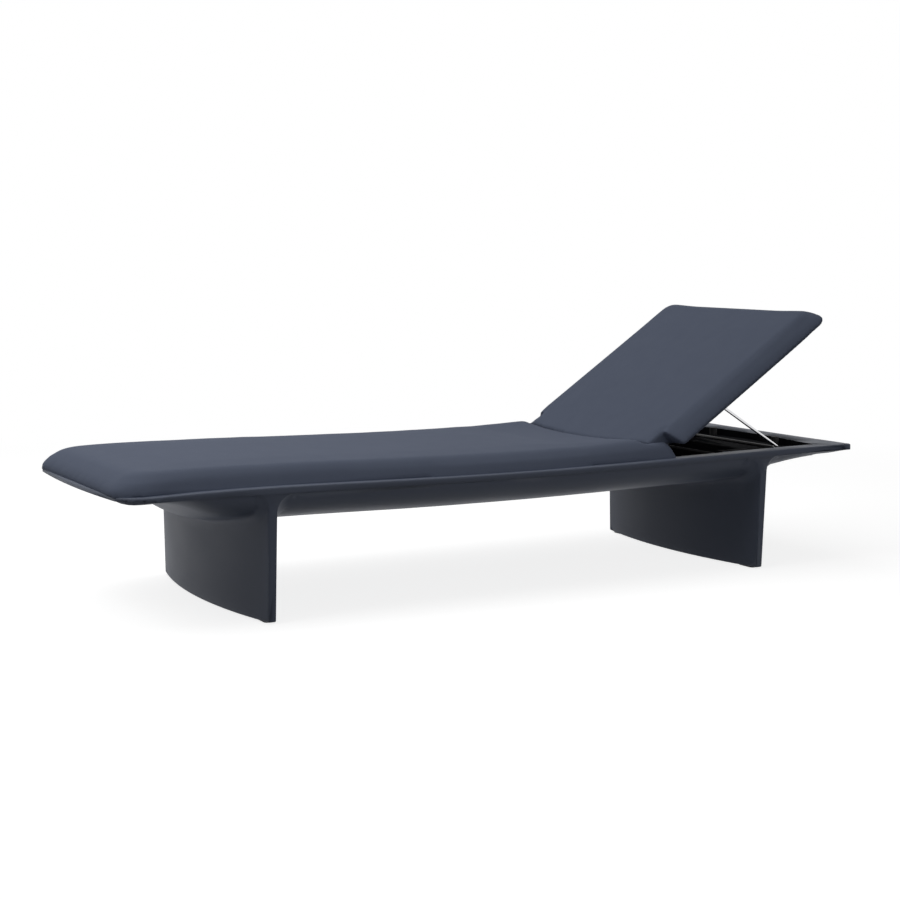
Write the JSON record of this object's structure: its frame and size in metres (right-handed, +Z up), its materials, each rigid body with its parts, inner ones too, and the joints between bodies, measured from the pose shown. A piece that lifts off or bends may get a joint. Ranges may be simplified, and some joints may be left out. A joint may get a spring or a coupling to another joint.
{
  "type": "sun lounger",
  "caption": "Moulded sun lounger with blade legs, a flat seat pad, and a reclining back pad held by a bent wire prop that stands in an open tub at the head end.",
  "frame": {"origin": "centre of the footprint at floor level", "axes": "+X along the length towards the head end, +Y across the width, +Z up"},
  "size_m": [2.1, 0.714, 0.6896],
  "materials": {
    "shell": "matte",
    "board": "matte",
    "foam": "matte",
    "cover": "matte",
    "rod": "polished",
    "steel": "satin",
    "stud": "satin",
    "clip": "matte",
    "glide": "matte",
    "rubber": "matte"
  },
  "bodies": {
    "base": {"base_shell": "shell", "front_near_glide": "glide", "front_far_glide": "glide", "rear_near_glide": "glide", "rear_far_glide": "glide", "glide_screws": "steel", "seat_studs": "stud", "seat_board": "board", "seat_foam": "foam", "seat_cover": "cover", "near_base_leaf": "steel", "far_base_leaf": "steel", "base_leaf_screws": "steel", "near_hinge_pin": "steel", "far_hinge_pin": "steel", "back_buffers": "rubber"},
    "back": {"back_board": "board", "back_foam": "foam", "back_cover": "cover", "near_back_leaf": "steel", "far_back_leaf": "steel", "back_leaf_screws": "steel", "near_prop_clip": "clip", "far_prop_clip": "clip", "prop_clip_screws": "steel"},
    "prop": {"prop_frame": "rod"}
  },
  "joints": [
    {"name": "backrest_recline", "type": "hinge", "parent": "base", "child": "back", "pos_m": [0.441, 0, 0.3204], "axis": [0, -1, 0], "range_deg": [-32.81, 26.33]},
    {"name": "prop_fold", "type": "hinge", "parent": "back", "child": "prop", "pos_m": [0.64564, 0, 0.44231], "axis": [0, -1, 0], "range_deg": [-52.66, 65.62]}
  ],
  "couplings": [
    {"joint": "prop_fold", "follows": "backrest_recline", "ratio": -2}
  ]
}
